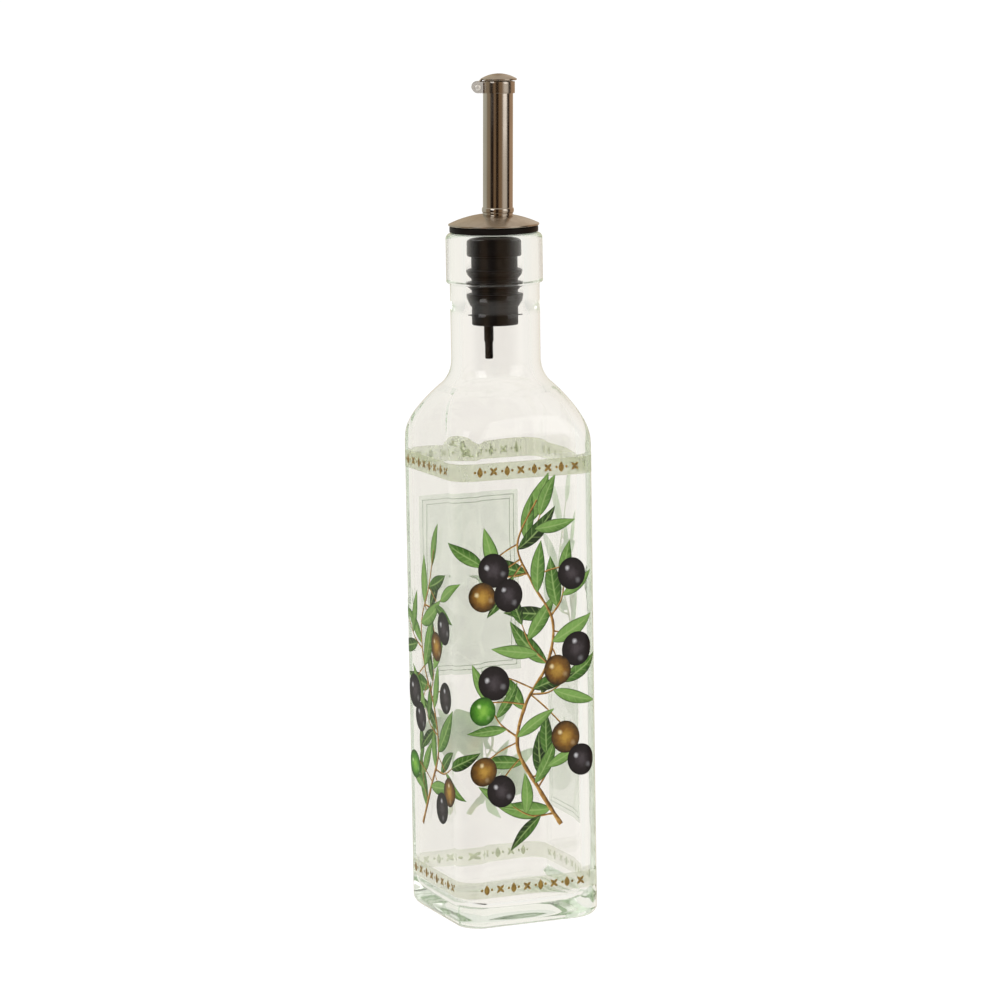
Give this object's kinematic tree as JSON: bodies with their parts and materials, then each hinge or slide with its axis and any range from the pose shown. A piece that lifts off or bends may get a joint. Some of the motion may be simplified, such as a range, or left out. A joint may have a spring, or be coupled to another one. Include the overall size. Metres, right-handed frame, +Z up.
{
  "type": "oil bottle with pourer",
  "caption": "Square clear-glass oil bottle with a round neck, a push-in ribbed stopper, a domed steel cover disc and a steel pouring tube with a hinged flip lid.",
  "frame": {"origin": "centre of the foot, on the surface that the bottle stands on", "axes": "+Z up along the bottle; flat sides face X and Y; the pourer is turned 20 degrees in the neck, with the lid's hinge on the -X side and the pouring side towards +X"},
  "size_m": [0.05, 0.05, 0.2777],
  "materials": {
    "clear_glass": "smooth, clear with a faint green tint",
    "black_stopper": "satin, near black",
    "bright_steel": "bright, lightly brushed"
  },
  "bodies": {
    "bottle": {"bottle_glass": "clear_glass", "stopper": "black_stopper", "vent_tube": "black_stopper", "cover_disc": "bright_steel", "pour_tube": "bright_steel", "lid_collar": "bright_steel", "hinge_pin": "bright_steel"},
    "lid": {"flip_lid": "bright_steel"}
  },
  "joints": [
    {"name": "lid_hinge", "type": "hinge", "parent": "bottle", "child": "lid", "pos_m": [-0.0043, 0.00157, 0.27336], "axis": [-0.342, -0.9397, 0], "range_deg": [0, 105]}
  ]
}
